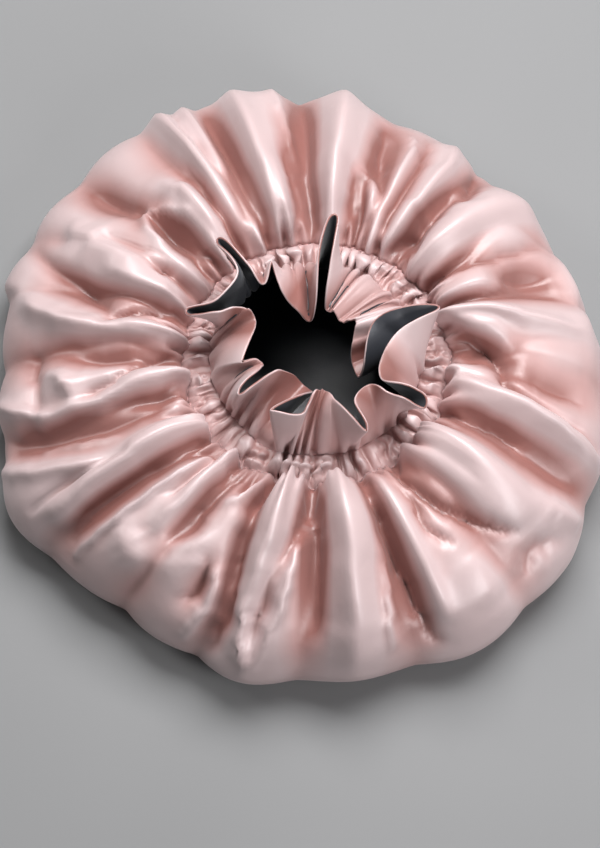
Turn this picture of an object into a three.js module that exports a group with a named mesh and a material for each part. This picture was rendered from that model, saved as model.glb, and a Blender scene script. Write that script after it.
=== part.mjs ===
// A sleep bonnet of two gathered satin plies, lying on its crown with its opening up.
// Millimetres, +Z up. The origin is the middle of the resting face; -Y is the front.

import * as THREE from "three";

// ---- driving dimensions ----

const PLY = 1.0; // rose outer ply
const LINING = 1.0; // black lining ply
const PLY_GAP = 0.35; // air between the two plies
const CASING_GAP = 1.9; // room between the plies in the elastic's casing
const ELASTIC = 1.1; // thickness of the elastic band
const ELASTIC_SPAN = [0.22, 0.78]; // part of the casing's width that the band fills
const SEAM_GAP = 0.35; // slit between pieces that meet at a seam

const RING_CENTRE = { x: 9, y: -1 }; // the gathered opening sits a little off the middle
const OUTER_STITCH = 74; // radius of the casing's outer stitch line
const INNER_STITCH = 58; // radius of the casing's inner stitch line
const OUTER_STITCH_Z = 60;
const INNER_STITCH_Z = 62;
const CASING_GATHER = 2.2; // how far the gathers of the casing stand
const FRILL_WIDTH = 40; // from the inner stitch line to the ruffle's edge
const FRILL_RISE = 6; // how far the ruffle arches above a straight line
const MIN_RISE = 7; // the lowest that the ruffle's edge stands above its stitch line
const LEAN_OUT = 0.25; // share of its lean that an outward stretch has halfway up
const LEAN_IN = 0.45; // the same for an inward stretch
const OUTWARD_FROM = 46; // an edge further than this from the middle leans outward
const MITRE_LIMIT = 2.2; // longest offset at a sharp crease, in wall thicknesses
const RIDGE_ROUNDNESS = 0.9; // power of the fold's wave: lower is a broader ridge

const ROSE = { color: 0xd9a6a3, roughness: 0.35, metalness: 0 };
const BLACK = { color: 0x17181b, roughness: 0.4, metalness: 0 };
const ELASTIC_WHITE = { color: 0xe9e6e1, roughness: 0.8, metalness: 0 };

// One row for each fold of the crown, anticlockwise from the right.
// ring: where its ridge leaves the casing, deg; rim: where it meets the rim, deg;
// reach: the rim's radius there; ridge and valley: how far the ridge stands above
// the mean surface, and how deep the groove after it lies.
const FOLDS = [
  { ring: 16, rim: 8, reach: 173, ridge: 5, valley: 5 },
  { ring: 27, rim: 21, reach: 171, ridge: 4, valley: 6 },
  { ring: 44, rim: 40, reach: 168, ridge: 8, valley: 7 },
  { ring: 62, rim: 60, reach: 172, ridge: 5, valley: 6 },
  { ring: 82, rim: 82, reach: 177, ridge: 8, valley: 6 },
  { ring: 101, rim: 99, reach: 184, ridge: 6, valley: 6 },
  { ring: 116, rim: 114, reach: 185, ridge: 5, valley: 5 },
  { ring: 129, rim: 128, reach: 179, ridge: 5, valley: 6 },
  { ring: 145, rim: 143, reach: 180, ridge: 6, valley: 5 },
  { ring: 157, rim: 156, reach: 179, ridge: 5, valley: 5 },
  { ring: 171, rim: 169, reach: 174, ridge: 5, valley: 7 },
  { ring: 189, rim: 186, reach: 173, ridge: 7, valley: 6 },
  { ring: 210, rim: 206, reach: 174, ridge: 6, valley: 6 },
  { ring: 229, rim: 226, reach: 173, ridge: 6, valley: 5 },
  { ring: 245, rim: 243, reach: 177, ridge: 5, valley: 7 },
  { ring: 260, rim: 260, reach: 183, ridge: 7, valley: 7 },
  { ring: 278, rim: 281, reach: 178, ridge: 7, valley: 7 },
  { ring: 295, rim: 302, reach: 192, ridge: 6, valley: 6 },
  { ring: 319, rim: 324, reach: 184, ridge: 8, valley: 7 },
  { ring: 346, rim: 347, reach: 176, ridge: 6, valley: 6 },
];
const FOLD_STEPS = 4; // columns for each fold: ridge, flank, valley, flank

// Rings of the crown from the resting face, round the rim and up to the casing.
// from: "base" measures reach from the middle, "ring" from the outer stitch line;
// reach: share of the way to the rim; height: mm; fold: share of the fold's depth.
const CROWN_SECTIONS = [
  { name: "resting edge", from: "base", reach: 0.6, height: 0, fold: 0 },
  { name: "low flank", from: "base", reach: 0.92, height: 9, fold: 0.15 },
  { name: "rim", from: "ring", reach: 1.0, height: 33, fold: 0.45 },
  { name: "high flank", from: "ring", reach: 0.91, height: 56, fold: 0.75 },
  { name: "shoulder", from: "ring", reach: 0.63, height: 73, fold: 1.0 },
  { name: "crest", from: "ring", reach: 0.24, height: 77, fold: 0.9 },
  { name: "outer stitch", from: "ring", reach: 0, height: OUTER_STITCH_Z, fold: 0 },
];

// Turning points of the ruffle's edge, anticlockwise. base: where that stretch leaves the
// inner stitch line, deg; x, y: where its edge stands, mm from the middle of the opening.
// A tongue is folded outward and shows its black side; a bay leans inward.
const FRILL_EDGE = [
  { name: "long tongue, inner side", base: 358, x: 35, y: 11 },
  { name: "long tongue, upper mouth", base: 4, x: 27, y: -13 },
  { name: "right bay", base: 15.5, x: 20, y: -2 },
  { name: "right pleat", base: 27, x: 22, y: 13 },
  { name: "upper right bay", base: 45, x: 14, y: 17 },
  { name: "upper bay", base: 61, x: 9, y: 22 },
  { name: "upright tongue, right mouth", base: 70, x: 6, y: 25 },
  { name: "upright tongue, right side", base: 76, x: 10, y: 52 },
  { name: "upright tongue, tip", base: 81, x: 9, y: 72 },
  { name: "upright tongue, left side", base: 86, x: 1, y: 50 },
  { name: "upright tongue, left mouth", base: 91, x: -2, y: 25 },
  { name: "top bay", base: 98, x: -6, y: 20 },
  { name: "top bay, left", base: 106, x: -18, y: 27 },
  { name: "notch", base: 114, x: -25, y: 42 },
  { name: "finger", base: 121, x: -30, y: 30 },
  { name: "spike, right mouth", base: 127, x: -38, y: 41 },
  { name: "spike, tip", base: 133, x: -55, y: 58 },
  { name: "spike, left mouth", base: 139, x: -47, y: 38 },
  { name: "hook, upper side", base: 150, x: -57, y: 23 },
  { name: "hook, tip", base: 158.5, x: -73, y: 12 },
  { name: "hook, lower side", base: 165, x: -54, y: 9 },
  { name: "hook, mouth", base: 171, x: -39, y: 14 },
  { name: "left edge, upper", base: 179, x: -34, y: 6 },
  { name: "left edge, lower", base: 189, x: -41, y: -17 },
  { name: "left lobe", base: 199, x: -32, y: -16 },
  { name: "left spike, upper mouth", base: 208, x: -31, y: -18 },
  { name: "left spike, tip", base: 215, x: -42, y: -38 },
  { name: "left spike, lower mouth", base: 222, x: -23, y: -23 },
  { name: "lower left bay", base: 232, x: -12, y: -17 },
  { name: "crescent, inner mouth", base: 240, x: -3, y: -26 },
  { name: "crescent, inner side", base: 245.5, x: -9, y: -35 },
  { name: "crescent, tip", base: 250, x: -24, y: -49 },
  { name: "crescent, outer side", base: 254, x: -7, y: -50 },
  { name: "crescent, outer mouth", base: 260, x: 0, y: -33 },
  { name: "lower bay", base: 274, x: 7, y: -37 },
  { name: "lower spike, left mouth", base: 283, x: 10, y: -43 },
  { name: "lower spike, tip", base: 289, x: 26, y: -60 },
  { name: "lower spike, right mouth", base: 295, x: 21, y: -42 },
  { name: "lower right bay", base: 302, x: 28, y: -33 },
  { name: "short tongue, lower mouth", base: 311, x: 37, y: -38 },
  { name: "short tongue, lower side", base: 317, x: 47, y: -43 },
  { name: "short tongue, tip", base: 322, x: 57, y: -45 },
  { name: "short tongue, upper side", base: 327, x: 51, y: -32 },
  { name: "short tongue, upper mouth", base: 333, x: 36, y: -26 },
  { name: "long tongue, lower mouth", base: 341, x: 36, y: -16 },
  { name: "long tongue, outer side", base: 345.5, x: 47, y: -4 },
  { name: "long tongue, tip", base: 355, x: 65, y: 18 },
];
const EDGE_STEPS = 2; // columns for each turning point

// ---- small helpers ----

const radians = (degrees) => (degrees * Math.PI) / 180;
const mix = (a, b, share) => a + (b - a) * share;
const onCircle = (centre, radius, degrees, z) =>
  new THREE.Vector3(
    centre.x + radius * Math.cos(radians(degrees)),
    centre.y + radius * Math.sin(radians(degrees)),
    z,
  );

// Value of a column of a closed table at a fractional row, with angles carried past 360.
function aroundTable(table, column, row, turn = 0) {
  const whole = Math.floor(row);
  const laps = (index) => Math.floor(index / table.length) * turn;
  const value = (index) =>
    table[((index % table.length) + table.length) % table.length][column] + laps(index);
  return mix(value(whole), value(whole + 1), row - whole);
}

// ---- the surface of the outer ply, as rows of points round the bonnet ----

// Broad ridges and sharp valleys: +1 on the ridge and -1 in the groove.
const foldWave = (fraction) =>
  2 * Math.abs(Math.cos(Math.PI * fraction)) ** RIDGE_ROUNDNESS - 1;

function crownPoint(section, row) {
  const fraction = row - Math.floor(row);
  const rimAngle = aroundTable(FOLDS, "rim", row, 360);
  const ringAngle = aroundTable(FOLDS, "ring", row, 360);
  const reach = aroundTable(FOLDS, "reach", row);
  const wave = foldWave(fraction);
  const depth = aroundTable(FOLDS, wave > 0 ? "ridge" : "valley", Math.floor(row));
  const rim = onCircle({ x: 0, y: 0 }, reach, rimAngle, 0);
  const start =
    section.from === "base"
      ? new THREE.Vector3()
      : onCircle(RING_CENTRE, OUTER_STITCH, ringAngle, 0);
  const point = start.lerp(rim, section.reach).setZ(section.height);
  return { point, push: wave * depth * section.fold };
}

// The crown's rings, each pushed in and out along the smooth surface's normal.
function crownRows() {
  const columns = FOLDS.length * FOLD_STEPS;
  const rows = CROWN_SECTIONS.map((section) =>
    Array.from({ length: columns }, (_, column) => crownPoint(section, column / FOLD_STEPS)),
  );
  const smooth = rows.map((row) => row.map(({ point }) => point));
  const normals = gridNormals(smooth).normals;
  return smooth.map((row, i) =>
    row.map((point, j) => point.clone().addScaledVector(normals[i][j], rows[i][j].push)),
  );
}

// Columns of the opening: the turning points of the ruffle's edge, and points between.
function openingColumns() {
  const first = FRILL_EDGE[0].base;
  const bases = FRILL_EDGE.map(({ base }) => ({ base: base < first ? base + 360 : base }));
  const columns = [];
  for (let column = 0; column < FRILL_EDGE.length * EDGE_STEPS; column += 1) {
    const row = column / EDGE_STEPS;
    const degrees = aroundTable(bases, "base", row, 360);
    const stitch = onCircle(RING_CENTRE, INNER_STITCH, degrees, INNER_STITCH_Z);
    const edge = new THREE.Vector3(
      RING_CENTRE.x + aroundTable(FRILL_EDGE, "x", row),
      RING_CENTRE.y + aroundTable(FRILL_EDGE, "y", row),
      INNER_STITCH_Z,
    );
    const lean = Math.min(edge.distanceTo(stitch), FRILL_WIDTH);
    edge.z += Math.max(Math.sqrt(FRILL_WIDTH ** 2 - lean ** 2), MIN_RISE);
    columns.push({ degrees, stitch, edge, gathered: column % 2 === 1 });
  }
  return columns;
}

// Rows of the casing: the two stitch lines and the line halfway between them.
function casingRows(columns) {
  return [0, 0.5, 1].map((share) =>
    columns.map(({ degrees }) =>
      onCircle(
        RING_CENTRE,
        mix(OUTER_STITCH, INNER_STITCH, share),
        degrees,
        mix(OUTER_STITCH_Z, INNER_STITCH_Z, share),
      ),
    ),
  );
}

// Rows of the ruffle: it rises from its stitch line before it leans in or out.
function frillRows(columns) {
  const middle = columns.map(({ stitch, edge }) => {
    const outward = Math.hypot(edge.x - RING_CENTRE.x, edge.y - RING_CENTRE.y) > OUTWARD_FROM;
    const point = stitch.clone().lerp(edge, outward ? LEAN_OUT : LEAN_IN);
    return point.setZ(mix(stitch.z, edge.z, 0.5) + FRILL_RISE);
  });
  return [columns.map(({ stitch }) => stitch), middle, columns.map(({ edge }) => edge)];
}

// ---- walls made from rows of points ----

// Outward unit normals of a grid that closes round its columns, and the factor that
// keeps a wall's thickness at its creases.
function gridNormals(rows) {
  const count = rows[0].length;
  const faces = rows.map((row) => row.map(() => []));
  for (let i = 0; i + 1 < rows.length; i += 1) {
    for (let j = 0; j < count; j += 1) {
      const next = (j + 1) % count;
      const across = rows[i + 1][next].clone().sub(rows[i][j]);
      const along = rows[i + 1][j].clone().sub(rows[i][next]);
      const normal = across.cross(along).normalize();
      for (const [a, b] of [[i, j], [i, next], [i + 1, j], [i + 1, next]]) {
        faces[a][b].push(normal);
      }
    }
  }
  const normals = faces.map((row) =>
    row.map((around) =>
      around.reduce((sum, normal) => sum.add(normal), new THREE.Vector3()).normalize(),
    ),
  );
  const mitres = faces.map((row, i) =>
    row.map((around, j) => {
      const closest = Math.min(...around.map((normal) => normal.dot(normals[i][j])));
      return Math.min(1 / Math.max(closest, 0.1), MITRE_LIMIT);
    }),
  );
  return { normals, mitres };
}

// A wall between two depths under a grid. depthOf gives [outer, inner] for a row and a
// column. A pole closes the grid's first row with a point in its middle.
function wall(rows, depthOf, { pole = false } = {}) {
  const { normals, mitres } = gridNormals(rows);
  const count = rows[0].length;
  const vertices = [];
  const triangles = [];
  const sides = [0, 1].map((side) =>
    rows.map((row, i) =>
      row.map((point, j) => {
        const depth = depthOf(i, j)[side];
        const flat = point.z === 0;
        const normal = flat ? new THREE.Vector3(0, 0, -1) : normals[i][j];
        const reach = flat ? 1 : mitres[i][j];
        vertices.push(point.clone().addScaledVector(normal, -depth * reach));
        return vertices.length - 1;
      }),
    ),
  );
  const quad = (a, b, c, d) => triangles.push([a, b, c], [a, c, d]);
  for (let j = 0; j < count; j += 1) {
    const k = (j + 1) % count;
    for (let i = 0; i + 1 < rows.length; i += 1) {
      const [outer, inner] = sides;
      quad(outer[i][j], outer[i][k], outer[i + 1][k], outer[i + 1][j]);
      triangles.push([inner[i][j], inner[i + 1][k], inner[i][k]]);
      triangles.push([inner[i][j], inner[i + 1][j], inner[i + 1][k]]);
    }
    const last = rows.length - 1;
    quad(sides[0][last][j], sides[0][last][k], sides[1][last][k], sides[1][last][j]);
    if (!pole) {
      quad(sides[0][0][k], sides[0][0][j], sides[1][0][j], sides[1][0][k]);
    }
  }
  if (pole) {
    sides.forEach((side, index) => {
      const depth = depthOf(0, 0)[index];
      vertices.push(new THREE.Vector3(0, 0, depth));
      const middle = vertices.length - 1;
      for (let j = 0; j < count; j += 1) {
        const pair = [side[0][(j + 1) % count], side[0][j]];
        triangles.push([middle, ...(index === 0 ? pair : pair.reverse())]);
      }
    });
  }
  const geometry = new THREE.BufferGeometry();
  const positions = vertices.flatMap(({ x, y, z }) => [x, y, z]);
  geometry.setAttribute("position", new THREE.Float32BufferAttribute(positions, 3));
  geometry.setIndex(triangles.flat());
  geometry.computeVertexNormals();
  return geometry;
}

// The same rows with an end drawn back along the surface, so that pieces don't touch.
function trimmed(rows, { start = 0, end = 0 }) {
  const moved = rows.map((row) => row.map((point) => point.clone()));
  const draw = (edge, beside, length) =>
    edge.forEach((point, j) => {
      const step = beside[j].clone().sub(point);
      point.addScaledVector(step, length / step.length());
    });
  if (start > 0) draw(moved[0], rows[1], start);
  if (end > 0) draw(moved[moved.length - 1], rows[rows.length - 2], end);
  return moved;
}

// ---- the pieces ----

function piece(name, geometry, finish) {
  const mesh = new THREE.Mesh(geometry, new THREE.MeshStandardMaterial(finish));
  mesh.name = name;
  return mesh;
}

const LINING_TOP = PLY + PLY_GAP;

function crownPieces() {
  const rows = trimmed(crownRows(), { end: SEAM_GAP });
  return [
    piece("crown_outer", wall(rows, () => [0, PLY], { pole: true }), ROSE),
    piece(
      "crown_lining",
      wall(rows, () => [LINING_TOP, LINING_TOP + LINING], { pole: true }),
      BLACK,
    ),
  ];
}

function casingPieces(columns) {
  const rows = casingRows(columns);
  const ends = trimmed(rows, { start: SEAM_GAP, end: SEAM_GAP });
  const gather = (i, j) => (i === 1 && columns[j].gathered ? CASING_GATHER : 0);
  const under = PLY + CASING_GAP;
  const elasticRows = ELASTIC_SPAN.map((share) =>
    rows[0].map((point, j) => point.clone().lerp(rows[2][j], share)),
  );
  const elasticTop = PLY + (CASING_GAP - ELASTIC) / 2;
  return [
    piece("casing_outer", wall(ends, (i, j) => [-gather(i, j), PLY - gather(i, j)]), ROSE),
    piece(
      "casing_lining",
      wall(ends, (i, j) => [under + gather(i, j), under + LINING + gather(i, j)]),
      BLACK,
    ),
    piece(
      "elastic_band",
      wall(elasticRows, () => [elasticTop, elasticTop + ELASTIC]),
      ELASTIC_WHITE,
    ),
  ];
}

function frillPieces(columns) {
  const rows = trimmed(frillRows(columns), { start: SEAM_GAP });
  return [
    piece("frill_outer", wall(rows, () => [0, PLY]), ROSE),
    piece("frill_lining", wall(rows, () => [LINING_TOP, LINING_TOP + LINING]), BLACK),
  ];
}

// ---- the bonnet, its box centred on the origin ----

const group = new THREE.Group();
const columns = openingColumns();
group.add(...crownPieces(), ...casingPieces(columns), ...frillPieces(columns));

const box = new THREE.Box3().setFromObject(group, true);
const middle = box.getCenter(new THREE.Vector3());
group.position.set(-middle.x, -middle.y, -box.min.z);

export default group;
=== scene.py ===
"""A rose satin sleep bonnet with a black satin lining, lying on its crown, opening up.

Every cloth is a grid of points: columns go round the opening, rows go from the resting
face round the rim, up to the gathered casing and out along the ruffle. Sizes are in
millimetres in the tables and functions, and become metres when a mesh is made.
"""

import math

import bpy
import numpy as np
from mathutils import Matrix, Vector


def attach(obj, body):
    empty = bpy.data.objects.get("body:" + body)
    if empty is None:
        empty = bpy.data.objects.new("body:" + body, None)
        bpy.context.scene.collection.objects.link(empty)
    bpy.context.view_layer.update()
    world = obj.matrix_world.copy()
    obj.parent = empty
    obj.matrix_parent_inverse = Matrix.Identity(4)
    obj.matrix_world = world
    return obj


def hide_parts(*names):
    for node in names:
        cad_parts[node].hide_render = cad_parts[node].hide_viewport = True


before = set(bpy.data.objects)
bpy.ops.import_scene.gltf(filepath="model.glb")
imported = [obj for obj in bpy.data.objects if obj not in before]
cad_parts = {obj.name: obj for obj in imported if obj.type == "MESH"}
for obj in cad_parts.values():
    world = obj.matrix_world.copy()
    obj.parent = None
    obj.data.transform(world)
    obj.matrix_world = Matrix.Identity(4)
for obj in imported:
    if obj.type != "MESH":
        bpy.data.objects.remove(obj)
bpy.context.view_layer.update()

# ---- driving dimensions, mm ----

MM = 0.001
RING_CENTRE = np.array([9.0, -1.0, 0.0])
CAD_SHIFT = np.array([0.14, -0.56, 0.0])  # from the tables' middle to the frame's
OUTER_STITCH = 74.0
INNER_STITCH = 58.0
OUTER_STITCH_Z = 60.0
INNER_STITCH_Z = 62.0
FRILL_WIDTH = 40.0
FRILL_LOWEST = 7.0
PLY_SPACING = 1.3
CLOTH_THICKNESS = 0.4
FOLD_SHADE_HEIGHT = 6.0  # depth of groove at which the painted shade is darkest, and height of ridge at which the painted highlight is palest
CASING_PUFF = 2.2
CASING_DEPTH = 4.5
LINING_SLACK = 17.0
CREASE_SHARE = 1.4
FRONT_CARRY = 0.2  # how far the front folds carry on round the rim
THREAD = 0.28
STITCH = 2.6
STITCH_PITCH = 3.8
OUTER_STITCHES = 122
INNER_STITCHES = 96
# where along half the stitch, its share of the thread's thickness, and its lift
STITCH_SECTIONS = (
    (-1, 0.2, -0.25), (-0.8, 0.8, 0.05), (0, 1, 0.3), (0.8, 0.8, 0.05), (1, 0.2, -0.25),
)

CLOTH_SLACK = 0.13  # share of cloth gathered in at the casing, over that at the rim
CLOTH_HOLD = 0.08  # how firmly the free cloth is held to its charted shape
RELAX_FRAMES = 14

CROWN_COLUMNS = 480
CROWN_ROWS = 96
RING_COLUMNS = 960
CASING_ROWS = 14
FRILL_ROWS = 30
LINING_COLUMNS = 320
LINING_ROWS = 60

# Camera, in degrees and metres
CAMERA_ELEVATION = 66.0
CAMERA_DISTANCE = 1.4
CAMERA_TARGET = (0.0, -0.0222, 0.021)
VIEW_WIDTH = 0.3408  # seen at the target

# Lights: name, place, size (m), power (W), colour
LIGHTS = (
    ("overhead", (0.2, 0.48, 1.2), (1.0, 0.7), 29, (1.0, 0.985, 1.0)),
    ("right", (0.9, -0.8, 0.7), (0.5, 0.6), 9, (1.0, 0.98, 1.0)),
    ("left", (-1.1, 0.4, 0.9), (0.4, 0.5), 4, (1.0, 0.98, 0.97)),
)
WORLD_LIGHT = 0.16
FLOOR_SIZE = 30.0
FLOOR_GREY = ((0.215, 0.219, 0.219), (0.24, 0.244, 0.244))

# One row for each fold of the crown, anticlockwise from the right: where its ridge
# leaves the casing and meets the rim (deg), the rim's radius there, how far the ridge
# stands and how deep the groove after it lies, and how far out the fold carries (0 to 1).
FOLD_COLUMNS = ("ring", "rim", "reach", "ridge", "valley", "carry")
FOLDS = np.array([
    (16, 8, 172, 7, 8, 0.8),
    (27, 21, 171, 5, 8, 0.6),
    (44, 40, 171, 9, 9, 0.9),
    (62, 60, 178, 6, 8, 0.8),
    (82, 82, 187, 10, 9, 0.9),
    (101, 99, 193, 8, 9, 0.9),
    (116, 114, 194, 7, 8, 0.7),
    (129, 128, 190, 7, 8, 0.6),
    (145, 143, 185, 8, 7, 0.7),
    (157, 156, 181, 7, 7, 0.7),
    (171, 169, 172, 7, 8, 0.7),
    (189, 186, 171, 8, 9, 0.9),
    (210, 206, 178, 8, 8, 0.9),
    (229, 226, 166, 8, 8, 0.8),
    (245, 243, 167, 7, 9, 0.8),
    (260, 260, 175, 9, 10, 1.0),
    (278, 281, 173, 9, 9, 0.9),
    (295, 302, 182, 8, 9, 0.9),
    (319, 324, 180, 10, 9, 0.9),
    (346, 347, 175, 8, 8, 0.8),
], float)
FOLD = {name: FOLDS[:, i] for i, name in enumerate(FOLD_COLUMNS)}

# Every long fold, groove and dent of the crown, one row each: three places along it, as
# the angle round the casing (deg) and the distance out from the stitch line (mm), then
# its half width and its height (mm), below zero for a groove.
CREASES = (
    # right side
    (4, 48, 4, 70, 4, 98, 11, 5),
    (21, 6, 13, 22, 5, 40, 5, 6),
    (19, 16, 15, 45, 15, 95, 6, 5),
    (25, 8, 25, 25, 25, 42, 8, 6),
    (27, 55, 27, 75, 27, 95, 11, -10),
    (32, 30, 33, 60, 34, 98, 3.5, -4),
    (16, 103, 25, 108, 33, 112, 8, 4),
    (42, 14, 42, 60, 43, 120, 17, 8),
    (58, 2, 53, 25, 53, 66, 5, -11),
    (50, 66, 52, 90, 57, 135, 4.5, -7),
    (61, 8, 58, 50, 60, 110, 5, 6),
    (64, 20, 63, 60, 65, 110, 3.5, -6),
    (67, 30, 66, 70, 68, 95, 2.5, 3),
    (67, 30, 71, 60, 73, 95, 6, -8),
    (75, 12, 77, 30, 78, 45, 5, -6),
    (70, 25, 72, 38, 75, 50, 3.5, 4),
    # back
    (84, 20, 82, 60, 82, 125, 11, 9),
    (91, 5, 90, 60, 91, 140, 7, -9),
    (95, 20, 97, 35, 98, 55, 6, -6),
    (93, 45, 95, 70, 96, 90, 2.5, 2.5),
    (96, 85, 97, 110, 98, 140, 5, 4),
    (103, 14, 105, 50, 105, 120, 9, 9),
    (111, 25, 111, 60, 111, 120, 5, -8),
    (114, 15, 115, 30, 115, 45, 6, -6),
    (114, 50, 114.5, 90, 113, 130, 2.5, 3),
    (116, 50, 117, 90, 115, 130, 2.5, -4),
    (119, 22, 119, 70, 119, 130, 6, 7),
    (123, 30, 121, 50, 121, 60, 3, -4),
    # back left, with the pocket and the broad hollow beyond it
    (128, 22, 126, 40, 128, 55, 8, 7),
    (131, 35, 137, 55, 143, 35, 3.5, 6),
    (137, 20, 137, 35, 137, 46, 8, -9),
    (138, 65, 138, 90, 138, 115, 26, -9),
    (150, 25, 151, 55, 149.5, 84, 8, 9),
    (147, 30, 148, 50, 148, 62, 3, -3),
    (149, 24, 151, 27, 152, 30, 2.5, -4),
    (170, 48, 161, 70, 153, 120, 7, -8),
    (158, 18, 159, 32, 157, 50, 8, 6),
    (165, 18, 168, 32, 172, 50, 2.5, -6),
    (176, 18, 174, 60, 168, 92, 7, 7),
    (168, 92, 162, 115, 158, 145, 9, 6),
    # left side
    (183, 25, 184, 45, 182, 62, 8, -8),
    (180, 8, 188, 32, 194, 58, 2.5, -5),
    (180, 92, 187, 90, 195, 88, 6, -5),
    (186, 76, 190, 68, 194, 66, 5, 4),
    (190, 6, 196, 45, 196, 85, 5, 7),
    (196, 85, 191, 108, 185, 140, 4, 5),
    (204, 25, 203, 70, 194, 130, 11, -10),
    (208, 48, 205, 68, 203, 90, 2.5, 3),
    (212, 62, 208, 88, 201, 128, 4.5, 5),
    (213, 50, 213.5, 75, 213, 105, 2.5, -4),
    (196, 4, 202, 12, 206, 18, 4, 5),
    (215, 4, 216, 50, 217, 95, 8, 9),
    # front left
    (226, 10, 221, 50, 222, 105, 6, -7),
    (229, 15, 226.5, 60, 224.5, 112, 2.2, 4.5),
    (230.5, 5, 231, 25, 231, 48, 4, -7),
    (234, 4, 235, 35, 234, 65, 5.5, 7),
    (241, 10, 240, 35, 240, 62, 6, -7),
    (246, 8, 246, 18, 246, 30, 3.5, -6),
    (251, 5, 252, 18, 251, 32, 4.5, -7),
    (249, 10, 248, 25, 245, 34, 2.5, 4),
    (229, 78, 236, 85, 246, 72, 12, 6),
    (245, 58, 243, 66, 238, 73, 4, 3),
    (248, 70, 248.5, 84, 247, 96, 5, -6),
    (250.5, 72, 251.5, 90, 249, 115, 3.5, 5),
    (252, 50, 255, 80, 254, 118, 4.5, -7),
    # front
    (260, 3, 259, 40, 257.5, 80, 8, 9),
    (257.5, 80, 258.5, 100, 260, 120, 3, 6),
    (268, 5, 266, 30, 263, 55, 5, -9),
    (262, 60, 261, 80, 260.5, 100, 4.5, -6),
    (266.5, 45, 264, 80, 261, 118, 2.5, 5),
    (271, 25, 271, 55, 271, 95, 6, -8),
    (279, 3, 278, 60, 277, 118, 12, 9),
    (287.5, 30, 287, 70, 289, 112, 3.5, -9),
    (286, 50, 284, 80, 283, 110, 2, 3),
    (291, 22, 291, 60, 291, 95, 5, 6),
    (296.5, 28, 297, 38, 297, 46, 4, -5),
    (295.5, 40, 296, 52, 298.5, 62, 2, -4),
    # front right
    (301, 4, 301, 35, 306, 60, 3, -8),
    (306, 60, 309, 70, 312, 80, 2.5, -4),
    (315, 14, 315, 50, 315, 82, 22, 9),
    (300, 72, 300, 88, 300, 104, 18, 6),
    (309, 104, 314, 98, 319, 106, 8, -6),
    (323, 84, 324, 100, 327, 118, 6, 5),
    (332, 28, 333, 45, 332, 58, 4.5, -7),
    (331, 60, 331, 85, 331, 110, 10, -4),
    (342, 22, 341, 60, 339, 112, 8, 8),
    (352, 36, 346, 60, 342.5, 110, 3, -6),
    (350, 41, 355, 40, 360, 38, 4.5, -7),
    (353, 50, 353, 72, 352, 95, 9, -5),
    (359, 38, 364, 24, 368, 8, 4.5, -9),
    (346, 22, 351, 14, 357, 6, 5, 4),
)

# Rings of the crown: reach along the base (0 middle, 1 rim) or over the top (1 rim,
# 0 stitch line), height, and the share of the folds' depth there.
BASE_SECTIONS = (
    ("middle", 0.02, 0.0, 0.0),
    ("inner base", 0.3, 0.0, 0.0),
    ("base edge", 0.62, 0.0, 0.0),
    ("low flank", 0.85, 2.5, 0.1),
    ("low rim", 0.965, 10.5, 0.15),
)
TOP_SECTIONS = (
    ("rim", 1.0, 23.0, 0.3),
    ("high rim", 0.98, 37.0, 0.35),
    ("shoulder", 0.85, 54.0, 0.7),
    ("mid slope", 0.58, 69.0, 1.0),
    ("crest", 0.28, 76.0, 1.1),
    ("fall", 0.1, 70.0, 0.95),
    ("outer stitch", 0.0, OUTER_STITCH_Z, 0.35),
)

# Gathers that die away from the stitch line: how many go round, their height, the
# distance they reach (mm), and a seed.
GATHERS = (
    (23, 3.0, 50, 11),
    (69, 1.7, 15, 13),
    (104, 0.8, 8, 14),
)
CASING_GATHERS = 46  # the main gathers, which run from the crown through the casing
CASING_GATHER = 3.2

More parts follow.
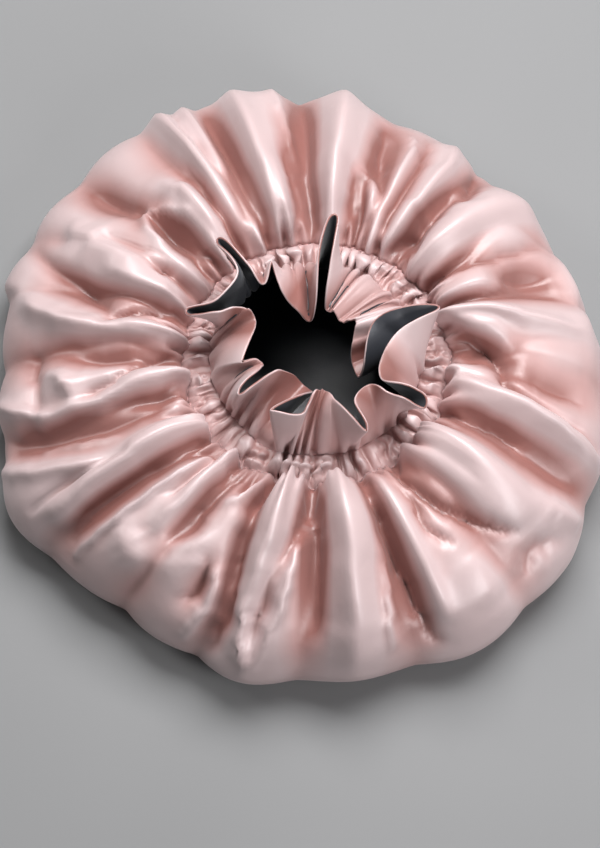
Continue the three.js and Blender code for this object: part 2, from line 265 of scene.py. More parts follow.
# Turning points of the ruffle's edge, anticlockwise: where that stretch leaves the inner
# stitch line (deg), and where its edge stands (mm from the middle of the opening).
FRILL_EDGE = (
    ("long tongue, inner side", 359, 33, 11),
    ("long tongue, upper mouth", 364, 25, -13),
    ("right bay", 374, 20, -2),
    ("right pleat", 387, 22, 13),
    ("upper right bay", 405, 14, 17),
    ("upper bay", 421, 9, 22),
    ("upright tongue, right mouth", 430, 6, 25),
    ("upright tongue, right side", 436, 10, 52),
    ("upright tongue, tip, right", 440, 11.5, 70),
    ("upright tongue, tip, left", 442, 6, 70),
    ("upright tongue, left side", 446, 1, 50),
    ("upright tongue, left mouth", 451, -1, 25),
    ("top bay", 458, -6, 20),
    ("top bay, left", 466, -18, 27),
    ("notch", 474, -25, 42),
    ("finger", 481, -30, 30),
    ("spike, right mouth", 487, -38, 41),
    ("spike, tip, first side", 491.8, -52, 59),
    ("spike, tip, second side", 494.2, -55, 54.5),
    ("spike, left mouth", 499, -44, 35),
    ("hook, upper side", 510, -55, 19),
    ("hook, tip, first side", 516.8, -71, 15),
    ("hook, tip, second side", 519.2, -69, 8.5),
    ("hook, lower side", 525, -54, 9),
    ("hook, mouth", 531, -39, 14),
    ("left edge, upper", 539, -34, 6),
    ("left edge, lower", 549, -41, -17),
    ("left lobe", 559, -32, -16),
    ("left spike, upper mouth", 568, -30, -20),
    ("left spike, tip, first side", 573.8, -42, -36),
    ("left spike, tip, second side", 576.2, -39, -39),
    ("left spike, lower mouth", 582, -23, -23),
    ("lower left bay", 592, -12, -17),
    ("crescent, inner mouth", 601, -3, -26),
    ("crescent, inner side", 606, -9, -35),
    ("crescent, tip, first side", 608.8, -24, -47),
    ("crescent, tip, second side", 611.2, -22, -50),
    ("crescent, outer side", 614, -7, -50),
    ("crescent, outer mouth", 620, 0, -33),
    ("lower bay", 634, 7, -37),
    ("lower spike, left mouth", 643, 10, -43),
    ("lower spike, tip, first side", 647.8, 24, -60),
    ("lower spike, tip, second side", 650.2, 27, -57.5),
    ("lower spike, right mouth", 655, 21, -42),
    ("lower right bay", 662, 28, -33),
    ("short tongue, lower mouth", 671, 37, -38),
    ("short tongue, lower side", 677, 47, -43),
    ("short tongue, tip, first side", 680.8, 57, -46.5),
    ("short tongue, tip, second side", 683.2, 58.5, -40.5),
    ("short tongue, upper side", 687, 51, -34),
    ("short tongue, upper mouth", 693, 36, -29),
    ("long tongue, lower mouth", 701, 36, -16),
    ("long tongue, outer side", 708, 45, 0),
    ("long tongue, tip, first side", 712.8, 65.5, 13.5),
    ("long tongue, tip, second side", 715.2, 63, 19.5),
)


# ---- curves and noise ----

def loop_spline(values, at):
    """Smooth closed curve through evenly spaced values, read at fractional rows."""
    whole = np.floor(at).astype(int)
    t = (at - whole).reshape((-1,) + (1,) * (values.ndim - 1))
    a, b, c, d = (values[(whole + k) % len(values)] for k in (-1, 0, 1, 2))
    return b + 0.5 * t * (c - a + t * (2 * a - 5 * b + 4 * c - d + t * (3 * (b - c) + d - a)))


def loop_angles(degrees, at):
    """The same for angles that go once round."""
    steps = 360.0 / len(degrees)
    drift = degrees - steps * np.arange(len(degrees))
    return loop_spline(drift, at) + steps * at


def open_spline(points, at):
    """Smooth curve through a list of points, read at fractional rows."""
    ends = np.concatenate([points[:1] * 2 - points[1:2], points, points[-1:] * 2 - points[-2:-1]])
    whole = np.clip(np.floor(at).astype(int), 0, len(points) - 2)
    t = (at - whole).reshape((-1,) + (1,) * (points.ndim - 1))
    a, b, c, d = (ends[whole + k] for k in range(4))
    return b + 0.5 * t * (c - a + t * (2 * a - 5 * b + 4 * c - d + t * (3 * (b - c) + d - a)))


def smoothstep(low, high, x):
    t = np.clip((x - low) / (high - low), 0.0, 1.0)
    return t * t * (3 - 2 * t)


def ring_noise(waves, turns, seed):
    """Smooth random numbers of about unit size, round the ring at the given turns."""
    random = np.random.default_rng(seed)
    return loop_spline(random.normal(0.0, 0.8, waves), turns * waves)


def gather_turns(turns):
    """Which gather each column lies on, unevenly spaced."""
    return turns * CASING_GATHERS + 0.7 * ring_noise(CASING_GATHERS // 2, turns, 31)


def gather_wave(turns):
    """Irregular gathers, from about -1 to 1."""
    wave = np.cos(2 * np.pi * gather_turns(turns))
    size = np.clip(0.8 + 0.5 * ring_noise(CASING_GATHERS, turns, 32), 0.2, 1.5)
    return np.sign(wave) * np.abs(wave) ** 0.8 * size


# ---- the crown ----

def crown_surface(columns, rows):
    """Smooth crown without folds, and what each point needs to be folded."""
    turns = np.arange(columns) / columns
    fine = np.linspace(0.0, 20.0, 2001)
    fine_ring = loop_angles(FOLD["ring"], fine)
    ring_angle = 360.0 * turns + fine_ring[0]
    fold_at = np.interp(ring_angle, fine_ring, fine)
    rim_angle = np.radians(loop_angles(FOLD["rim"], fold_at))
    ring_angle = np.radians(ring_angle)
    reach = loop_spline(FOLD["reach"], fold_at)
    rim = np.stack([reach * np.cos(rim_angle), reach * np.sin(rim_angle), 0 * reach], -1)
    ring = RING_CENTRE + OUTER_STITCH * np.stack(
        [np.cos(ring_angle), np.sin(ring_angle), 0 * ring_angle], -1
    )
    knots = []
    for _, along, height, _ in BASE_SECTIONS:
        knots.append(rim * along + (0, 0, height))
    for _, along, height, _ in TOP_SECTIONS:
        knots.append(ring + (rim - ring) * along + (0, 0, height))
    knots = np.array(knots)
    mean = knots.mean(axis=1)
    radius = np.linalg.norm(knots - mean[:, None] * (0, 0, 1), axis=2).mean(axis=1)
    steps = np.hypot(np.diff(radius), np.diff(mean[:, 2]))
    length = np.r_[0, np.cumsum(steps)]
    # rows are closer together towards the casing, where the folds are fine
    share = np.linspace(0, 1, rows) ** 0.8
    at = np.interp(share * length[-1], length, np.arange(len(knots)))
    points = open_spline(knots, at)
    points[..., 2] = np.maximum(points[..., 2], 0.0)
    fold_share = np.array([s[3] for s in BASE_SECTIONS + TOP_SECTIONS])
    fold = np.interp(at, np.arange(len(knots)), fold_share)
    to_ring = length[-1] - share * length[-1]
    return points, fold_at, fold, to_ring, turns


def fold_wave(fraction, sharp=0.02):
    """Broad ridges at whole numbers and narrow grooves halfway between them."""
    return 2 * (np.cos(np.pi * fraction) ** 2 + sharp) ** 0.45 - 1


def grid_normals(points):
    across = np.roll(points, -1, axis=1) - np.roll(points, 1, axis=1)
    along = np.gradient(points, axis=0)
    normals = np.cross(across, along)
    return normals / np.maximum(np.linalg.norm(normals, axis=2, keepdims=True), 1e-9)


def crease_push(points, to_ring):
    """How far every charted crease lifts or sinks each point of the smooth crown."""
    rows, columns = points.shape[:2]
    start = FOLD["ring"][0]
    far = np.arange(rows)[::-1]
    push = np.zeros((rows, columns))
    t = np.linspace(0, 1, 13)[:, None]
    for crease in CREASES:
        places = np.array(crease[:6], float).reshape(3, 2)
        width, height = crease[6:]
        a, b, c = places
        path = (2 * t - 1) * (t - 1) * a + 4 * t * (1 - t) * b + t * (2 * t - 1) * c
        column = np.mod((path[:, 0] - start) / 360.0, 1.0) * columns
        row = np.interp(path[:, 1], to_ring[::-1], far)
        line = points[np.round(row).astype(int), np.round(column).astype(int) % columns]
        # distance to the line, and how far along it that is
        nearest = np.full((rows, columns), 1e9)
        place = np.zeros((rows, columns))
        for k in range(len(line) - 1):
            p, q = line[k], line[k + 1]
            d = q - p
            along = ((points - p) @ d) / max(d @ d, 1e-6)
            along = np.clip(along, 0, 1)
            gap = np.linalg.norm(points - p - along[..., None] * d, axis=2)
            closer = gap < nearest
            nearest = np.where(closer, gap, nearest)
            place = np.where(closer, k + along, place)
        place = place / (len(line) - 1)
        taper = np.sqrt(np.clip(np.sin(np.pi * (0.08 + 0.84 * place)), 0, 1))
        sharp = 1.2 if height < 0 else 1.6
        push += height * taper * np.exp(-((nearest / width) ** sharp))
    return push


def crown_points(columns, rows):
    points, fold_at, share, to_ring, turns = crown_surface(columns, rows)
    near = to_ring[:, None]
    # folds wander a little on their way out
    drift = ring_noise(9, turns, 5)[None] * np.sin(near / 34)
    drift = drift + 0.6 * ring_noise(15, turns, 6)[None] * np.sin(near / 21 + 1)
    fraction = fold_at[None, :] + 0.16 * drift * smoothstep(5, 60, near)
    wave = fold_wave(fraction)
    ridge = loop_spline(FOLD["ridge"], fold_at)[None]
    valley = loop_spline(FOLD["valley"], fold_at + 0.5)[None]
    depth = np.where(wave > 0, ridge, valley)
    fade = 1 - 0.25 * smoothstep(25, 70, near)
    # towards the front the folds carry on round the rim
    front = 0.5 - 0.5 * np.sin(2 * np.pi * turns + np.radians(FOLD["ring"][0]))
    carry = FRONT_CARRY * front[None] * smoothstep(75, 115, near)
    share = share[:, None] + carry * smoothstep(8, 22, points[..., 2])
    push = 0.8 * wave * depth * share * fade
    # finer gathers die away from the stitch line, which presses them flat
    pressed = 0.35 + 0.65 * smoothstep(0, 7, near)
    gathers = pressed * CASING_GATHER * gather_wave(turns)[None]
    push = push + gathers * np.exp(-((near / 27) ** 1.5))
    for waves, size, distance, seed in GATHERS:
        phase = turns * waves + 0.5 * ring_noise(waves // 2, turns, seed)
        amount = 0.75 + 0.5 * ring_noise(waves // 2, turns, seed + 50)
        fine = np.cos(2 * np.pi * phase)[None] * amount[None]
        push = push + pressed * size * fine * np.exp(-((near / distance) ** 1.5))
    reach = smoothstep(0, 9, near) * np.minimum(share / 0.9, 1)
    push = push + CREASE_SHARE * crease_push(points, to_ring) * reach
    # the base stays flat where it rests
    push = push * smoothstep(0.5, 6, points[..., 2])
    normals = grid_normals(points)
    return points + normals * push[..., None]


def lining_points(columns, rows):
    """The lining hangs a little slack inside the rose cloth, and meets it at the stitches."""
    points, _, _, to_ring, turns = crown_surface(columns, rows)
    slack = smoothstep(-2, 16, to_ring[:, None]) * smoothstep(1, 14, points[..., 2])
    folds = np.cos(2 * np.pi * turns * 34 + 2 * ring_noise(17, turns, 71))[None]
    inset = PLY_SPACING + 2.5 + (LINING_SLACK + 1.2 * folds) * slack
    from_middle = np.linalg.norm(points, axis=2)
    creases = 0.5 * ring_noise(23, turns, 72)[None] * smoothstep(20, 60, from_middle)
    normals = grid_normals(points)
    inner = points - normals * inset[..., None]
    inner[..., 2] += np.where(points[..., 2] < 1, creases + 0.5, 0)
    return inner


# ---- the crown's cloth, relaxed ----

def relaxed_rest(points):
    """A cone of the same cloth without its folds, with slack for the gathers."""
    step = np.linalg.norm(np.diff(points, axis=0), axis=2).mean(axis=1)
    length = np.r_[0, np.cumsum(step)]
    around = np.linalg.norm(np.roll(points, -1, axis=1) - points, axis=2).sum(axis=1)
    slack = CLOTH_SLACK * smoothstep(0.4, 1.1, length / length[-1])
    radius = around / (2 * np.pi) * (1.02 + slack)
    rise = np.sqrt(np.maximum(step ** 2 - np.diff(radius) ** 2, 0.02 * step ** 2))
    height = np.r_[0, np.cumsum(rise)]
    turn = 2 * np.pi * np.arange(points.shape[1]) / points.shape[1]
    across = radius[:, None] * np.cos(turn), radius[:, None] * np.sin(turn)
    return np.stack([*across, np.repeat(height[:, None], points.shape[1], axis=1)], -1)


def relax(points):
    """Let the folds find their own shape in a short cloth simulation at ten times size."""
    scale = 0.01
    cloth = grid_object("relaxing cloth", points * (scale / MM))
    mesh = cloth.data
    cloth.shape_key_add(name="Basis")
    rest = cloth.shape_key_add(name="Rest", from_mix=False)
    rest.data.foreach_set("co", (relaxed_rest(points) * scale).astype(np.float32).ravel())
    rest.value = 0.0
    hold = np.full(points.shape[:2], CLOTH_HOLD)
    hold[points[..., 2].mean(axis=1) < 2] = 1.0
    hold[-2:] = 1.0
    group = cloth.vertex_groups.new(name="hold")
    for value in np.unique(hold):
        group.add(np.nonzero(hold.ravel() == value)[0].tolist(), float(value), "REPLACE")
    modifier = cloth.modifiers.new("Cloth", "CLOTH")
    settings = modifier.settings
    settings.quality = 6
    settings.mass = 0.15
    settings.tension_stiffness = 15
    settings.compression_stiffness = 10
    settings.shear_stiffness = 5
    settings.bending_stiffness = 1.5
    settings.tension_damping = 5
    settings.compression_damping = 5
    settings.shear_damping = 5
    settings.bending_damping = 0.5
    settings.air_damping = 2
    settings.vertex_group_mass = "hold"
    settings.pin_stiffness = 1.0
    settings.rest_shape_key = rest
    settings.effector_weights.gravity = 0.1
    modifier.collision_settings.use_collision = False
    modifier.collision_settings.use_self_collision = False
    scene = bpy.context.scene
    scene.frame_start, scene.frame_end = 1, RELAX_FRAMES
    modifier.point_cache.frame_start, modifier.point_cache.frame_end = 1, RELAX_FRAMES
    for step in range(1, RELAX_FRAMES + 1):
        scene.frame_set(step)
    result = cloth.evaluated_get(bpy.context.evaluated_depsgraph_get())
    places = np.empty(len(mesh.vertices) * 3, np.float32)
    result.data.vertices.foreach_get("co", places)
    scene.frame_set(1)
    bpy.data.objects.remove(cloth)
    bpy.data.meshes.remove(mesh)
    relaxed = places.reshape(points.shape).astype(float) / scale
    relaxed[..., 2] = np.maximum(relaxed[..., 2], 0.0)
    return relaxed


# ---- the casing and the ruffle ----

def ring_turns():
    return np.arange(RING_COLUMNS) / RING_COLUMNS


def edge_curve(degrees):
    """Where the ruffle's edge stands above each column, in plan."""
    base = np.array([row[1] for row in FRILL_EDGE], float)
    place = np.array([row[2:] for row in FRILL_EDGE], float)
    wrapped = np.mod(degrees - base[0], 360.0) + base[0]
    at = np.interp(wrapped, np.r_[base, base[0] + 360], np.arange(len(base) + 1))
    return loop_spline(place, at)


def stitch_circle(turns, radius, height, wobble):
    angle = np.radians(360 * turns + FOLD["ring"][0])
    out = radius + wobble
    circle = [out * np.cos(angle), out * np.sin(angle), 0 * angle + height]
    return RING_CENTRE + np.stack(circle, -1)


def casing_points(last_crown):
    """From the crown's last row, bulging over the elastic, to the inner stitch line."""
    turns = ring_turns()
    inner = stitch_circle(turns, INNER_STITCH, INNER_STITCH_Z, 1.2 * ring_noise(24, turns, 41))
    outer = resample(last_crown, RING_COLUMNS)
    s = np.linspace(0, 1, CASING_ROWS)[:, None]
    points = outer[None] * (1 - s[..., None]) + inner[None] * s[..., None]
    bulge = np.sin(np.pi * s) ** 0.6
    gather = gather_wave(turns)[None]
    # the gathers slip sideways and split as they cross the band
    slip = 0.8 * ring_noise(37, turns, 34)[None] * np.sin(2.2 * np.pi * s)
    split = np.cos(2 * np.pi * (turns * 83 + 0.9 * ring_noise(40, turns, 33))[None] + 4 * slip)
    pillow = np.cos(2 * np.pi * gather_turns(turns)[None] + 5 * slip)
    swell = 1 + 0.35 * ring_noise(19, turns, 35)[None]
    push = bulge * swell * (CASING_PUFF + 1.6 * gather + 1.5 * pillow + 0.8 * split)
    push = np.maximum(push, 0.35 * bulge) + 0.8 * gather * s
    normals = grid_normals(points)
    return points + normals * push[..., None]


def casing_lining_points():
    turns = ring_turns()
    outer = stitch_circle(turns, OUTER_STITCH, OUTER_STITCH_Z - CASING_DEPTH, 0)
    inner = stitch_circle(turns, INNER_STITCH, INNER_STITCH_Z - CASING_DEPTH, 0)
    s = np.linspace(0, 1, CASING_ROWS)[:, None, None]
    points = outer * (1 - s) + inner * s
    points[..., 2] -= 0.8 * np.sin(np.pi * s[..., 0]) * (1 + gather_wave(turns)[None])
    return points


def frill_points(first):
    turns = ring_turns()
    plan = edge_curve(360 * turns + FOLD["ring"][0])
    plan = plan + 0.4 * np.stack([ring_noise(50, turns, 61), ring_noise(50, turns, 62)], -1)
    edge = np.concatenate([plan + RING_CENTRE[:2], 0 * plan[:, :1]], axis=1)
    lean = np.linalg.norm(edge[:, :2] - first[:, :2], axis=1)
    rise = np.sqrt(np.maximum(FRILL_WIDTH ** 2 - lean ** 2, FRILL_LOWEST ** 2))
    edge[:, 2] = first[:, 2] + rise
    outward = smoothstep(38, 52, np.linalg.norm(plan, axis=1))[:, None]
    lift = np.array([0, 0, 1.0])
    inward = (edge - first) * (1, 1, 0)
    start = first + lift * FRILL_WIDTH * 0.36 + inward * 0.1
    end = edge - inward * 0.35 - lift * FRILL_WIDTH * (0.06 + 0.2 * outward)
    t = np.linspace(0, 1, FRILL_ROWS)[:, None, None]
    points = (1 - t) ** 3 * first + 3 * t * (1 - t) ** 2 * start
    points = points + 3 * t * t * (1 - t) * end + t ** 3 * edge
    t = t[..., 0]
    gather = gather_wave(turns)[None] * np.exp(-((t * FRILL_WIDTH / 12) ** 1.3))
    flute = 1.6 * ring_noise(38, turns, 63)[None] * np.sin(np.pi * t) ** 0.8
    early = np.sin(np.pi * np.minimum(1.5 * t, 1)) ** 0.8
    flute = flute + 0.4 * ring_noise(80, turns, 64)[None] * early
    push = (2.2 * gather + flute) * smoothstep(0, 0.06, t)
    normals = grid_normals(points)
    return points + normals * push[..., None]


def rolled_edge(points):
    """Rows that carry the rose cloth round the seam at the ruffle's edge."""
    normals = grid_normals(points)[-1]
    onward = points[-1] - points[-2]
    onward = onward / np.linalg.norm(onward, axis=1, keepdims=True)
    turn = np.linspace(0, np.pi, 7)[1:, None, None]
    radius = 0.5 * PLY_SPACING
    roll = points[-1] + radius * (np.sin(turn) * onward - (1 - np.cos(turn)) * normals)
    return np.concatenate([points, roll])


def resample(row, columns):
    return loop_spline(row, np.arange(columns) * len(row) / columns)


def offset(points, distance):
    return points - grid_normals(points) * distance


# ---- meshes ----

def grid_object(name, points, pole=False):
    """A mesh in metres from a grid that closes round its columns."""
    rows, columns = points.shape[:2]
    i, j = np.meshgrid(np.arange(rows - 1), np.arange(columns), indexing="ij")
    k = (j + 1) % columns
    low, high = i * columns, (i + 1) * columns
    quads = np.stack([low + j, low + k, high + k, high + j], -1)
    faces = quads.reshape(-1, 4).tolist()
    if pole:
        faces.append(list(range(columns))[::-1])
    mesh = bpy.data.meshes.new(name)
    mesh.from_pydata((points.reshape(-1, 3) * MM).tolist(), [], faces)
    mesh.shade_smooth()
    obj = bpy.data.objects.new(name, mesh)
    bpy.context.scene.collection.objects.link(obj)
    return obj


def lay_flat(obj, points, inner_radius):
    """UVs in metres: where each point lies in the disc that the cloth was cut as."""
    columns = points.shape[1]
    step = np.linalg.norm(np.diff(points, axis=0), axis=2).mean(axis=1)
    radius = (inner_radius + np.r_[0, np.cumsum(step)])[:, None]
    angle = 2 * np.pi * np.arange(columns) / columns
    flat = np.stack([radius * np.cos(angle), radius * np.sin(angle)], -1).reshape(-1, 2)
    layer = obj.data.uv_layers.new(name="UVMap")
    index = np.empty(len(obj.data.loops), np.int32)
    obj.data.loops.foreach_get("vertex_index", index)
    layer.data.foreach_set("uv", (flat[index] * MM).astype(np.float32).ravel())


def thicken(obj):
    modifier = obj.modifiers.new("Thickness", "SOLIDIFY")
    modifier.thickness = CLOTH_THICKNESS * MM
    modifier.offset = -1.0


def fold_height(points, reach):
    """How far each point stands out of its smoothed surroundings, 0 in a groove to 1."""
    columns = points.shape[1]
    wave = np.fft.rfftfreq(columns, 1 / columns)
    keep = np.exp(-0.5 * (2 * np.pi * wave * reach / columns) ** 2)[None, :, None]
    smooth = np.fft.irfft(np.fft.rfft(points, axis=1) * keep, n=columns, axis=1)
    out = ((points - smooth) * grid_normals(smooth)).sum(axis=2)
    return np.clip(0.5 + out / (2 * FOLD_SHADE_HEIGHT), 0, 1)


def paint_fold_shade(obj, points, reach):
    # stores the fold height as the mask for painted shade in the grooves and a painted highlight
    # on the ridges
    layer = obj.data.attributes.new("fold", "FLOAT", "POINT")
    layer.data.foreach_set("value", fold_height(points, reach).astype(np.float32).ravel())


def stitch_row(line, normals, count, length):
    """Rows of points for one ring of separate stitches lying on a closed line."""
    at = (np.arange(count) + 0.5) * len(line) / count
    reach = 0.5 * length / STITCH_PITCH * len(line) / count
    rings = []
    for along, thick, lift in STITCH_SECTIONS:
        middle = loop_spline(line, at + along * reach)
        up = loop_spline(normals, at + along * reach)
        ahead = loop_spline(line, at + along * reach + 0.5) - middle
        side = np.cross(ahead, up)
        side = side / np.linalg.norm(side, axis=1, keepdims=True)
        turn = np.linspace(0, 2 * np.pi, 7)[:-1, None, None]
        ring = np.cos(turn) * side + np.sin(turn) * up
        rings.append(middle + lift * up + THREAD * thick * ring)
    return np.array(rings)


def stitches_object(name, rows):
    vertices, faces = [], []
    for rings in rows:
        around = rings.shape[1]
        for stitch in range(rings.shape[2]):
            first = len(vertices)
            vertices += (rings[:, :, stitch].reshape(-1, 3) * MM).tolist()
            for i in range(len(rings) - 1):
                for j in range(around):
                    a, b = first + i * around + j, first + i * around + (j + 1) % around
                    faces.append((a, a + around, b + around, b))
            faces.append([first + j for j in range(around)])
            faces.append([first + (len(rings) - 1) * around + j for j in range(around)][::-1])
    mesh = bpy.data.meshes.new(name)
    mesh.from_pydata(vertices, [], faces)
    mesh.shade_smooth()
    obj = bpy.data.objects.new(name, mesh)
    bpy.context.scene.collection.objects.link(obj)
    return obj


# ---- materials ----

def node(tree, kind, inputs=(), **settings):
    made = tree.nodes.new(kind)
    for name, value in settings.items():
        setattr(made, name, value)
    for name, value in dict(inputs).items():
        made.inputs[name].default_value = value
    return made


def colour_ramp(tree, stops):
    ramp = tree.nodes.new("ShaderNodeValToRGB")
    stages = ramp.color_ramp.elements
    while len(stages) < len(stops):
        stages.new(1.0)
    for stage, (position, colour) in zip(stages, stops):
        stage.position = position
        stage.color = (*colour, 1)
    return ramp


def satin(name, shade_and_dye_colours, with_painted_fold_shade, **shader_inputs):
    """Satin: long floats of thread along the warp, a soft uneven dye and slight puckers.
    With painted fold shade, the colour is also darkened as painted shade in the grooves and paled
    as a painted highlight along the ridges, read from the fold attribute."""
    material = bpy.data.materials.new(name)
    material.use_nodes = True
    tree = material.node_tree
    link = tree.links.new
    shader = tree.nodes["Principled BSDF"]
    for key, value in shader_inputs.items():
        shader.inputs[key.replace("_", " ")].default_value = value
    tangent = node(tree, "ShaderNodeTangent", direction_type="UV_MAP", uv_map="UVMap")
    link(tangent.outputs["Tangent"], shader.inputs["Tangent"])
    place = node(tree, "ShaderNodeTexCoord")
    dye = node(tree, "ShaderNodeTexNoise", {"Scale": 22.0, "Detail": 3.0})
    link(place.outputs["Object"], dye.inputs["Vector"])
    shades = colour_ramp(tree, shade_and_dye_colours)
    if with_painted_fold_shade:
        # painted shade in the grooves and painted highlight on the ridges: the fold attribute sets
        # four fifths of where the colour falls on the ramp, the uneven dye one fifth
        fold = node(tree, "ShaderNodeAttribute", attribute_name="fold")
        mixed = node(tree, "ShaderNodeMix", {"Factor": 0.2})
        link(fold.outputs["Fac"], mixed.inputs["A"])
        link(dye.outputs["Fac"], mixed.inputs["B"])
        link(mixed.outputs["Result"], shades.inputs["Fac"])
    else:
        link(dye.outputs["Fac"], shades.inputs["Fac"])
    link(shades.outputs["Color"], shader.inputs["Base Color"])
    threads = node(tree, "ShaderNodeMapping", {"Scale": (260.0, 2600.0, 1.0)})
    link(place.outputs["UV"], threads.inputs["Vector"])
    weave = node(tree, "ShaderNodeTexNoise", {"Scale": 1.0, "Detail": 2.0})
    link(threads.outputs["Vector"], weave.inputs["Vector"])
    pucker = node(tree, "ShaderNodeTexNoise", {"Scale": 70.0, "Detail": 2.0})
    link(place.outputs["Object"], pucker.inputs["Vector"])
    fine = node(tree, "ShaderNodeBump", {"Strength": 0.25, "Distance": 0.0002})
    link(weave.outputs["Fac"], fine.inputs["Height"])
    soft = node(tree, "ShaderNodeBump", {"Strength": 0.12, "Distance": 0.003})
    link(pucker.outputs["Fac"], soft.inputs["Height"])
    link(fine.outputs["Normal"], soft.inputs["Normal"])
    link(soft.outputs["Normal"], shader.inputs["Normal"])
    return material


def ribbed(name, dark, light, scale, roughness):
    """Twisted thread or woven elastic: fine ribs in both colour and height."""
    material = bpy.data.materials.new(name)
    material.use_nodes = True
    tree = material.node_tree
    link = tree.links.new
    shader = tree.nodes["Principled BSDF"]
    shader.inputs["Roughness"].default_value = roughness
    shader.inputs["Sheen Weight"].default_value = 0.3
    place = node(tree, "ShaderNodeTexCoord")
    ribs = node(tree, "ShaderNodeTexWave", {"Scale": scale, "Distortion": 1.5, "Detail": 2.0})
    link(place.outputs["Object"], ribs.inputs["Vector"])
    shades = colour_ramp(tree, [(0.2, dark), (0.8, light)])
    link(ribs.outputs["Fac"], shades.inputs["Fac"])
    link(shades.outputs["Color"], shader.inputs["Base Color"])
    bump = node(tree, "ShaderNodeBump", {"Strength": 0.5, "Distance": 0.0004})
    link(ribs.outputs["Fac"], bump.inputs["Height"])
    link(bump.outputs["Normal"], shader.inputs["Normal"])
    return material


# ---- build ----

# The rose ramp runs from painted shade in the grooves (dark brown) through the rose's own colour
# to a painted highlight on the ridges (pale), with a little uneven dye.
rose = satin(
    "rose satin",
    [(0.22, (0.27, 0.115, 0.098)), (0.45, (0.45, 0.27, 0.255)), (0.75, (0.545, 0.42, 0.415))],
    True,
    Roughness=0.43, Metallic=0.0, Specular_IOR_Level=1.0, Anisotropic=0.6,
    Sheen_Weight=0.15, Sheen_Roughness=0.35, Sheen_Tint=(1.0, 0.93, 0.95, 1),
)
black = satin(
    "black satin", [(0.3, (0.027, 0.029, 0.035)), (0.7, (0.046, 0.049, 0.058))], False,
    Roughness=0.38, Metallic=0.0, Specular_IOR_Level=0.7, Anisotropic=0.45,
    Sheen_Weight=0.2, Sheen_Roughness=0.4,
)
thread = ribbed("rose thread", (0.5, 0.25, 0.24), (0.72, 0.45, 0.43), 900.0, 0.6)
elastic = ribbed("woven elastic", (0.6, 0.58, 0.55), (0.84, 0.82, 0.79), 260.0, 0.85)

crown = crown_points(CROWN_COLUMNS, CROWN_ROWS)
crown = relax(crown)
casing = casing_points(crown[-1])
frill = frill_points(casing[-1])

# name, grid, cloth, whether a pole closes it, its CAD node, its place in the flat disc
# (mm), and its flat size as modelled, which is less than the real cut because the finest
# gathers are left out: width, length (m) and area (square metres)
SHEETS = (
    ("crown_cloth", crown, rose, True, "crown_outer", 3, (0.63, 0.63), 0.312),
    ("casing_cloth", casing, rose, False, "casing_outer", 315, (1.0, 0.016), None),
    ("frill_cloth", rolled_edge(frill), rose, False, "frill_outer", 331, (0.65, 0.043), None),
    (
        "crown_lining_cloth", lining_points(LINING_COLUMNS, LINING_ROWS), black, True,
        "crown_lining", 3, (0.52, 0.52), 0.212,
    ),
    (
        "casing_lining_cloth", casing_lining_points(), black, False,
        "casing_lining", 315, (0.5, 0.016), None,
    ),
    (
        "frill_lining_cloth", offset(frill, PLY_SPACING), black, False,
        "frill_lining", 331, (0.65, 0.04), None,
    ),
)
for name, points, cloth, pole, cad_node, start, flat, area in SHEETS:
    obj = grid_object(name, points + CAD_SHIFT, pole=pole)
    lay_flat(obj, points, start)
    obj.data.materials.append(cloth)
    # the rose cloths carry the fold attribute, which paints shade into their grooves and a
    # highlight onto their ridges
    if cloth is rose:
        paint_fold_shade(obj, points, 0.03 * points.shape[1])
    if pole:
        thicken(obj)
    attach(obj, "root")
    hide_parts(cad_node)

casing_normals = grid_normals(casing)
thread_rows = [
    stitch_row(casing[row] + CAD_SHIFT, casing_normals[row], count, STITCH)
    for row, count in ((0, OUTER_STITCHES), (-1, INNER_STITCHES))
]
stitches = stitches_object("stitches", thread_rows)
stitches.data.materials.append(thread)
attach(stitches, "root")

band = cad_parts["elastic_band"]
band.data.materials.clear()
band.data.materials.append(elastic)

# ---- stage ----

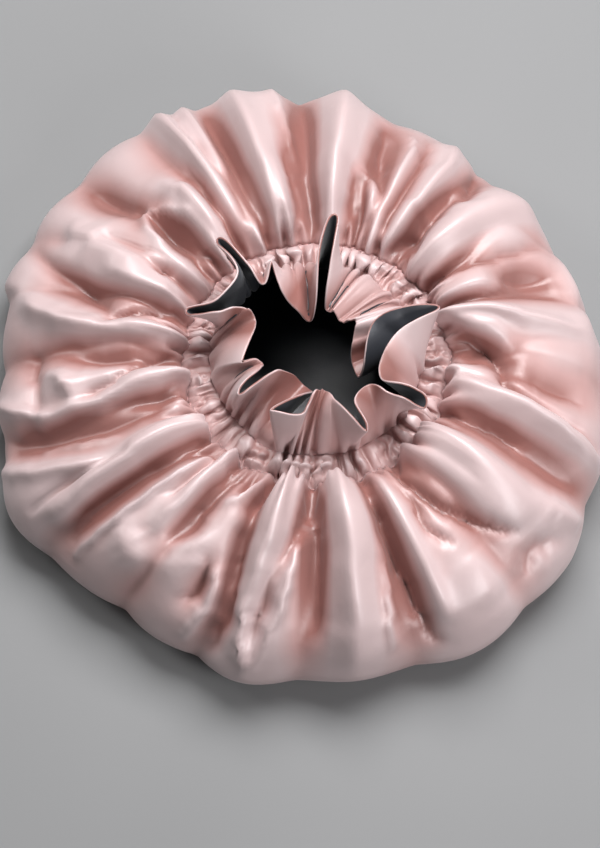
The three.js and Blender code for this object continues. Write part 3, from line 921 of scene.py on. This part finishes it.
def floor():
    bpy.ops.mesh.primitive_plane_add(size=FLOOR_SIZE)
    plane = bpy.context.object
    plane.name = "floor"
    material = bpy.data.materials.new("pale floor")
    material.use_nodes = True
    tree = material.node_tree
    shader = tree.nodes["Principled BSDF"]
    shader.inputs["Roughness"].default_value = 0.9
    place = node(tree, "ShaderNodeTexCoord")
    cloud = node(tree, "ShaderNodeTexNoise", {"Scale": 3.0, "Detail": 2.0})
    tree.links.new(place.outputs["Object"], cloud.inputs["Vector"])
    shades = colour_ramp(tree, [(0.3, FLOOR_GREY[0]), (0.7, FLOOR_GREY[1])])
    tree.links.new(cloud.outputs["Fac"], shades.inputs["Fac"])
    tree.links.new(shades.outputs["Color"], shader.inputs["Base Color"])
    plane.data.materials.append(material)


def area_light(name, place, size, power, colour):
    data = bpy.data.lights.new(name, "AREA")
    data.shape = "RECTANGLE"
    data.size, data.size_y = size
    data.energy = power
    data.color = colour
    obj = bpy.data.objects.new(name, data)
    obj.location = place
    obj.rotation_euler = (Vector((0, 0, 0.05)) - Vector(place)).to_track_quat("-Z", "Y").to_euler()
    bpy.context.scene.collection.objects.link(obj)


def camera():
    data = bpy.data.cameras.new("camera")
    data.sensor_fit = "HORIZONTAL"
    data.sensor_width = 36.0
    data.lens = data.sensor_width * CAMERA_DISTANCE / VIEW_WIDTH
    data.clip_start = 0.01
    obj = bpy.data.objects.new("camera", data)
    elevation = math.radians(CAMERA_ELEVATION)
    away = Vector((0, -math.cos(elevation), math.sin(elevation)))
    obj.location = Vector(CAMERA_TARGET) + CAMERA_DISTANCE * away
    obj.rotation_euler = away.to_track_quat("Z", "Y").to_euler()
    bpy.context.scene.collection.objects.link(obj)
    bpy.context.scene.camera = obj


floor()
camera()
world = bpy.data.worlds.new("studio")
bpy.context.scene.world = world
world.use_nodes = True
world.node_tree.nodes["Background"].inputs["Color"].default_value = (0.55, 0.56, 0.58, 1)
world.node_tree.nodes["Background"].inputs["Strength"].default_value = WORLD_LIGHT
for light in LIGHTS:
    area_light(*light)
bpy.context.scene.view_settings.view_transform = "Standard"
